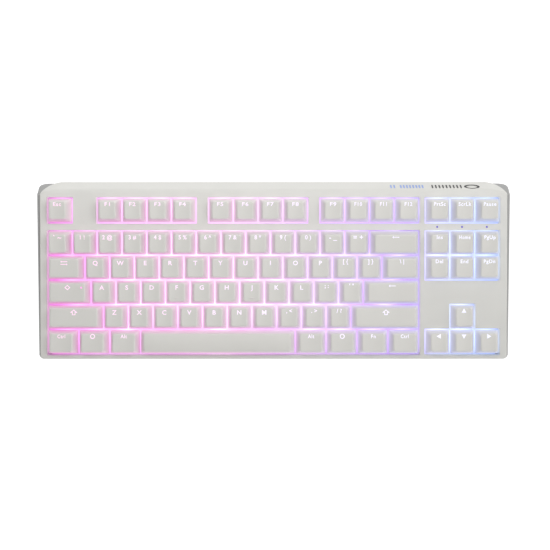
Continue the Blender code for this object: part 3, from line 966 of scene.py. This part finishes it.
def window_plans(grow, radius):
    """Rounded outline of each window in the top frame, with its sides moved out by grow."""
    plans = []
    for left, right, low, high in WINDOWS:
        x0 = from_units(left) - grow + (LEFT_SHY if left == 0 else 0)
        x1 = from_units(right) + grow - (RIGHT_SHY if right == FIELD_UNITS else 0)
        v0 = ROW_V[low] - PITCH / 2 - grow
        v1 = ROW_V[high] + PITCH / 2 + grow - (REAR_SHY if high == "number" else 0)
        plans.append([(x0, v0), (x1, v0), (x1, v1), (x0, v1)])
    x0, x1 = (from_units(unit) - grow for unit in ARROW_UNITS[:2])
    x2, x3 = (from_units(unit) + grow for unit in ARROW_UNITS[2:])
    x3 -= RIGHT_SHY
    low, high = ROW_V["space"] - PITCH / 2 - grow, ROW_V["shift"] + PITCH / 2 + grow
    step = ROW_V["space"] + PITCH / 2 + grow
    plans.append([(x0, low), (x3, low), (x3, step), (x2, step),
                  (x2, high), (x1, high), (x1, step), (x0, step)])
    return [rounded(plan, radius) for plan in plans]


def lamp_rings(bm, unit, *steps):
    """Rings about a lamp's middle, each with its share of the lamp's radius and its depth in the frame."""
    return [level(bm, circle(from_units(unit), LAMP_V, LAMP_RADIUS * share), FRAME_TOP - drop)
            for share, drop in steps]


def build_top_case():
    """The frame round the keys, with eased edges and three lamp holes."""
    bm = bmesh.new()

    def rim_ring(sizes, lift=0.0):
        points = outline(*sizes, FRAME_POWER)
        return ring(bm, [(x, v, parting(v) + PARTING_GAP + lift) for x, v in points])

    brow = []
    for inset, rear, drop in ROOF_EDGE:
        sizes = (FRAME_HALF - inset, CASE_FRONT + inset, rear, FRAME_CLIP, FRAME_CORNER - inset)
        brow.append(level(bm, outline(*sizes, FRAME_POWER), FRAME_TOP - drop))
    outer = (FRAME_HALF, CASE_FRONT, FRAME_REAR, FRAME_CLIP, FRAME_CORNER + RIM_EASE)
    lower = (FRAME_HALF - RIM_EASE, CASE_FRONT + RIM_EASE, FRAME_REAR - RIM_EASE, FRAME_CLIP, FRAME_CORNER)
    rims = [rim_ring(outer, RIM_LIFT), rim_ring(lower), rim_ring(RIM_INSIDE)]
    ceiling = level(bm, outline(*CEILING, FRAME_POWER), FRAME_TOP - FRAME_SKIN)
    bridge(bm, *brow, *rims, ceiling)

    stack = []
    for grow, w, radius in (
        (WINDOW_GAP + WINDOW_EASE, FRAME_TOP, 0.0007),
        (WINDOW_GAP + WINDOW_EASE * 0.3, FRAME_TOP - WINDOW_EASE * 0.3, 0.0005),
        (WINDOW_GAP, FRAME_TOP - WINDOW_EASE, 0.0004),
        (WINDOW_GAP, PARTING_GAP, 0.0004),
        (WINDOW_GAP + WINDOW_WALL, PARTING_GAP, 0.0010),
        (WINDOW_GAP + WINDOW_WALL, FRAME_TOP - FRAME_SKIN, 0.0010),
    ):
        stack.append([level(bm, plan, w) for plan in window_plans(grow, radius)])
    for loops in zip(*stack):
        bridge(bm, *loops)
    hole = (1.25, 0.0), (1.0, 0.0001), (1.0, 0.0010)
    lamp_holes = [blind(bm, *lamp_rings(bm, unit, *hole)) for unit in LAMP_UNITS]
    fill(bm, brow[0], [*stack[0], *lamp_holes])
    fill(bm, ceiling, stack[-1])
    made = piece("top_frame", bm, case_white, CHASSIS, ["top_case"])
    # Large faces shade flat, and the small ones at their edges take the blend
    made.modifiers.new("even", "WEIGHTED_NORMAL").keep_sharp = True


def build_lamps():
    """The three indicator light pipes over the navigation keys."""
    for name, unit in zip(("number", "scroll", "layer"), LAMP_UNITS):
        bm = bmesh.new()
        closed(bm, *lamp_rings(bm, unit, (0.92, 0.0009), (0.92, 0.0003), (0.6, 0.00015)))
        piece(f"indicator_{name}", bm, indicator_lamp, CHASSIS)


TRAY_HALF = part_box("bottom_case")[1].x
TRAY_CLIP, TRAY_CORNER, TRAY_START, TRAY_REAR = 0.0026, 0.0105, 0.0667, 0.0712
# Inset and drop from the parting line, up the tray's edge
TRAY_EDGE = ((0.00005, 0.0015), (0.0, 0.0011), (0.0002, 0.0008), (0.0010, 0.0))
TRAY_INSIDE = (0.1788, -0.0628, 0.0684, 0.0022, 0.0120)
UNDERSIDE, TRAY_FLOOR = 0.0020, 0.0040
# Level outlines of the tray's foot, each with its height over the underside, and the outline of its floor
TRAY_FOOT = (
    (0.0, (0.1755, -0.0615, 0.0665, 0.0030, 0.0060)),
    (0.0003, (0.1763, -0.0623, 0.0676, 0.0030, 0.0070)),
    (0.0015, (0.1770, -0.0630, 0.0685, 0.0030, 0.0080)),
)
FLOOR_PLAN = (0.1735, -0.0600, 0.0650, 0.0030, 0.0060)
POCKET_RADIUS, POCKET_LIP, POCKET_WALL = 0.0008, 0.0004, 0.0016
# Room round the folded feet on every side, and more in front of and behind them
POCKET_SPARE, POCKET_FRONT, POCKET_REAR = Vector((0.0005, 0.0005, 0.0020)), 0.0024, 0.0007
STANDOFF_X, STANDOFF_V, STANDOFF_W, STANDOFF_RADIUS = (-0.12, 0.0, 0.12), (-0.0413, 0.0390), -0.0069, 0.003
PANEL_V, PANEL_SIZE, PANEL_RADIUS, PANEL_DEPTH = 0.002, (0.150, 0.060), 0.004, 0.0004
PORT_SIZE, PORT_RADIUS, PORT_ENDS = (0.0130, 0.0075), 0.0016, (0.0640, 0.0720)


def flat_ring(bm, points, z):
    """A level ring in the row frame, from its plan about the key field's middle."""
    return ring(bm, [(x, DECK.translation.y + v, z) for x, v in points])


def tray_walls(bm):
    """The drafted walls with their crisp shoulder. Returns the rings of the underside and the floor."""
    def parted(points, drop):
        return ring(bm, [DECK @ Vector((x, v, parting(v) - drop)) for x, v in points])

    rings = [flat_ring(bm, outline(*sizes, FLOOR_POWER), UNDERSIDE + rise) for rise, sizes in TRAY_FOOT]
    for inset, drop in TRAY_EDGE:
        sizes = (TRAY_HALF - inset, CASE_FRONT + inset, TRAY_REAR - inset, TRAY_CLIP, TRAY_CORNER)
        rings.append(parted(outline(*sizes, TRAY_POWER, TRAY_START), drop))
    rings.append(parted(outline(*TRAY_INSIDE, FLOOR_POWER), 0))
    rings.append(flat_ring(bm, outline(*FLOOR_PLAN, FLOOR_POWER), TRAY_FLOOR))
    bridge(bm, *rings)
    return rings[0], rings[-1]


def foot_pocket(bm, side):
    """A pocket for a pair of folded feet, and the box over it inside. Returns both open rings."""
    low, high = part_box(f"{side}_tall_foot")
    low = low - POCKET_SPARE - Vector((0, POCKET_FRONT, 0))
    high = high + POCKET_SPARE + Vector((0, POCKET_REAR, 0))
    middle, size = (low + high) / 2, high - low

    def box(grow, radius, z):
        v = middle.y - DECK.translation.y
        return flat_ring(bm, rounded_box(middle.x, v, size.x + 2 * grow, size.y + 2 * grow, radius), z)

    mouth = blind(bm, box(POCKET_LIP, POCKET_RADIUS + POCKET_LIP, UNDERSIDE),
                  box(0, POCKET_RADIUS, UNDERSIDE + POCKET_LIP), box(0, POCKET_RADIUS, high.z))
    base = blind(bm, box(POCKET_WALL, POCKET_WALL, TRAY_FLOOR),
                 box(POCKET_WALL, POCKET_WALL, high.z + POCKET_WALL))
    return mouth, base


def standoff(bm, x, v):
    """A post from the floor to the circuit board, with its top along the deck."""
    top = [DECK @ Vector((px, pv, STANDOFF_W)) for px, pv in circle(x, v, STANDOFF_RADIUS, 16)]
    return blind(bm, ring(bm, [(p.x, p.y, TRAY_FLOOR) for p in top]), ring(bm, top))


def label_panel(bm):
    """A shallow recess in the underside."""
    rings = []
    for step in (0, PANEL_DEPTH):
        width, depth = (side - 2 * step for side in PANEL_SIZE)
        box = rounded_box(0, PANEL_V, width, depth, PANEL_RADIUS - step)
        rings.append(flat_ring(bm, box, UNDERSIDE + step))
    return blind(bm, *rings)


def build_bottom_case():
    """The tray: walls, two foot pockets, six posts, a panel underneath and the cable port."""
    bm = bmesh.new()
    sole, floor = tray_walls(bm)
    pockets = [foot_pocket(bm, side) for side in ("left", "right")]
    posts = [standoff(bm, x, v) for x in STANDOFF_X for v in STANDOFF_V]
    fill(bm, sole, [*(mouth for mouth, _ in pockets), label_panel(bm)])
    fill(bm, floor, [*(base for _, base in pockets), *posts])
    tray = piece("bottom_tray", bm, case_grey, CHASSIS, ["bottom_case"], place=Matrix())
    cut_port(tray)


def cut_port(tray):
    """The rounded opening in the rear wall in front of the cable socket."""
    low, high = turned_box("usb_socket")
    middle = (low + high) / 2 - ORIGIN
    bm = bmesh.new()
    plan = rounded_box(middle.x, middle.z, *PORT_SIZE, PORT_RADIUS, 6)
    closed(bm, *(ring(bm, [(x, v, w) for x, w in plan]) for v in PORT_ENDS))
    cutter = in_scene("port_cutter", mesh_from("port_cutter", bm, DECK))
    cut = tray.modifiers.new("port", "BOOLEAN")
    cut.operation = "DIFFERENCE"
    cut.solver = "EXACT"
    cut.object = cutter
    done = evaluated(tray)
    tray.modifiers.clear()
    old, tray.data = tray.data, done
    bpy.data.meshes.remove(old)
    bpy.data.objects.remove(cutter)
    done.set_sharp_from_angle(angle=radians(35))


# Where the rear slope starts and ends, then the marks' distance down it, their height and their corners
SLOPE_TOP, SLOPE_FOOT = Vector((0, 0.0660, 0.0072)), Vector((0, 0.0723, -0.0025))
MARK_DOWN, MARK_HEIGHT, MARK_RADIUS = 0.0036, 0.0052, 0.0004
# Name, middle of the first mark, step, count, width and ink
REAR_MARKS = (
    ("rear_bars", 0.1225, 0.00275, 9, 0.0011, black_ink),
    ("rear_dashes", 0.0982, 0.0024, 8, 0.0012, blue_ink),
    ("rear_tick", 0.0906, 0.0026, 2, 0.0012, blue_ink),
)
RING_X, RING_HALVES, RING_HOLE = 0.1530, (0.0060, MARK_HEIGHT * 0.62), 0.7


def build_rear_marks():
    """A plain printed row of ticks, dashes and bars and a ring on the rear slope."""
    down = (SLOPE_FOOT - SLOPE_TOP).normalized()
    out = Vector((1, 0, 0)).cross(down)

    def printed(bm, plan):
        """The plan's ring just under the surface and just over it."""
        return [ring(bm, [SLOPE_TOP + down * s + Vector((x, 0, 0)) + out * lift for x, s in plan])
                for lift in (-0.0001, 0.00003)]

    for name, first, step, count, width, finish in REAR_MARKS:
        bm = bmesh.new()
        for number in range(count):
            box = rounded_box(first + step * number, MARK_DOWN, width, MARK_HEIGHT, MARK_RADIUS)
            closed(bm, *printed(bm, box))
        piece(name, bm, finish, CHASSIS)
    bm = bmesh.new()
    half_x, half_s = RING_HALVES
    loops = []
    for share in (1.0, RING_HOLE):
        plan = [(RING_X + half_x * x, MARK_DOWN + half_s * s) for x, s in circle(0, 0, share, 32)]
        loops.append(printed(bm, plan))
    (outer_low, outer_high), (inner_low, inner_high) = loops
    bridge(bm, outer_low, outer_high, inner_high, inner_low, outer_low)
    piece("rear_ring", bm, black_ink, CHASSIS)


# ---------------- socket, pads and feet


def build_socket():
    socket = piece("socket_shell", clean_copy("usb_socket"), steel, CHASSIS, ["usb_socket"],
                   place=Matrix())
    soften(socket, 0.00006, segments=1, angle=50)


PAD_FLAT = 0.0002
GROOVE_SHIFT, GROOVE_SHARE, GROOVE_WIDTH, GROOVE_RADIUS, GROOVE_DEPTH = 0.0014, 0.72, 0.0008, 0.0003, 0.0003


def build_pad(name):
    """A rubber pad with round ends and two shallow grooves."""
    low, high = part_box(f"{name}_pad")
    middle, size = (low + high) / 2, high - low
    bm = bmesh.new()
    rings = []
    for inset, z in ((0.0006, low.z), (0.0001, low.z + 0.0004), (0, high.z - 0.0003), (0.0003, high.z)):
        width, depth = size.x - 2 * inset, size.y - 2 * inset
        rings.append(level(bm, rounded_box(middle.x, middle.y, width, depth, depth / 2 - PAD_FLAT, 8), z))
    bridge(bm, *rings)
    grooves = []
    for shift in (-GROOVE_SHIFT, GROOVE_SHIFT):
        box = rounded_box(middle.x, middle.y + shift, size.x * GROOVE_SHARE, GROOVE_WIDTH, GROOVE_RADIUS)
        grooves.append(blind(bm, level(bm, box, low.z), level(bm, box, low.z + GROOVE_DEPTH)))
    fill(bm, rings[0], grooves)
    fill(bm, rings[-1])
    piece(f"rubber_{name}", bm, pad_rubber, CHASSIS, [f"{name}_pad"], place=Matrix())


RIDGES, RIDGE_FIRST, RIDGE_STEP, RIDGE_SHARE, RIDGE_WIDTH = 3, 0.0022, 0.0011, 0.62, 0.0005
RIDGE_RADIUS, RIDGE_SUNK, RIDGE_PROUD = 0.0002, 0.0003, 0.0002


def build_foot(side, kind):
    """A flip foot with eased edges and finger ridges."""
    body = f"{side}_{kind}_foot"
    leg = piece(f"{side}_{kind}_leg", clean_copy(body), case_grey, body, [body], place=Matrix())
    soften(leg, 0.0003)
    low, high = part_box(body)
    bm = bmesh.new()
    for step in range(RIDGES):
        y = low.y + RIDGE_FIRST + RIDGE_STEP * step
        width = (high.x - low.x) * RIDGE_SHARE
        box = rounded_box((low.x + high.x) / 2, y, width, RIDGE_WIDTH, RIDGE_RADIUS)
        closed(bm, level(bm, box, low.z + RIDGE_SUNK), level(bm, box, low.z - RIDGE_PROUD))
    piece(f"{side}_{kind}_ridges", bm, case_grey, body, place=Matrix())


def build_pads_and_feet():
    for name in ("front_left", "front_right", "rear_left", "rear_right"):
        build_pad(name)
    for side in ("left", "right"):
        for kind in ("tall", "short"):
            build_foot(side, kind)


# ---------------- room, light and camera

VIEW_TILT, VIEW_ROLL = radians(5.2), radians(-0.02)
VIEW_RANGE, VIEW_LENS = 0.690, 58.61
VIEW_X, VIEW_V = 0.0011, -0.0002
FLOOR_HALF = 6
HORIZON_LIGHT, SKY_LIGHT = 0.94, 0.25
SIDE_LIGHT, SIDE_SPREAD, SIDE_PLACE = 0.85, radians(50), (0.75, 0.15, 1.0)
REAR_LIGHT, REAR_SIZE, REAR_PLACE, REAR_TARGET = 1.45, (0.8, 0.25), (0.015, 0.14, 0.41), (0, 0.05, 0)


def build_floor():
    bm = bmesh.new()
    bmesh.ops.create_grid(bm, x_segments=1, y_segments=1, size=FLOOR_HALF)
    mesh = mesh_from("floor", bm, Matrix())
    mesh.materials.append(floor_white)
    in_scene("floor", mesh)


def aim(light, place, target):
    made = in_scene(light.name, light)
    made.location = place
    made.rotation_euler = (Vector(target) - Vector(place)).to_track_quat("-Z", "Y").to_euler()


def build_light():
    """A white room, dimmer overhead, with a wide soft light over the rear and one from the right."""
    world = bpy.data.worlds.new("studio")
    world.use_nodes = True
    tree = world.node_tree
    height = node(tree, "SeparateXYZ", "Z", {0: node(tree, "TexCoord", "Generated", {})})
    feed(tree, tree.nodes["Background"], {
        "Color": (1, 1, 1, 1),
        "Strength": spread(tree, height, 0.25, 0.45, HORIZON_LIGHT, SKY_LIGHT),
    })
    bpy.context.scene.world = world
    side = bpy.data.lights.new("side_light", "SUN")
    side.energy = SIDE_LIGHT
    side.angle = SIDE_SPREAD
    aim(side, SIDE_PLACE, (0, 0, 0))
    rear = bpy.data.lights.new("rear_light", "AREA")
    rear.shape = "RECTANGLE"
    rear.size, rear.size_y = REAR_SIZE
    rear.energy = REAR_LIGHT
    aim(rear, REAR_PLACE, REAR_TARGET)
    bpy.context.scene.view_settings.view_transform = "Standard"


def build_camera():
    data = bpy.data.cameras.new("camera")
    data.sensor_width = 36.0
    data.lens = VIEW_LENS
    made = in_scene("camera", data)
    target = DECK @ Vector((VIEW_X, VIEW_V, SKIRT))
    back = Vector((0, -sin(VIEW_TILT), cos(VIEW_TILT)))
    made.location = target + back * VIEW_RANGE
    made.rotation_mode = "QUATERNION"
    made.rotation_quaternion = (-back).to_track_quat("-Z", "Y") @ Quaternion((0, 0, 1), VIEW_ROLL)
    bpy.context.scene.camera = made


# ---------------- the whole

build_camera()
build_light()
build_floor()
dress_cad()
build_plate()
build_bottom_case()
build_top_case()
build_lamps()
build_rear_marks()
build_keys()
build_legends()
build_homing_bars()
build_caps_lamp()
build_socket()
build_pads_and_feet()
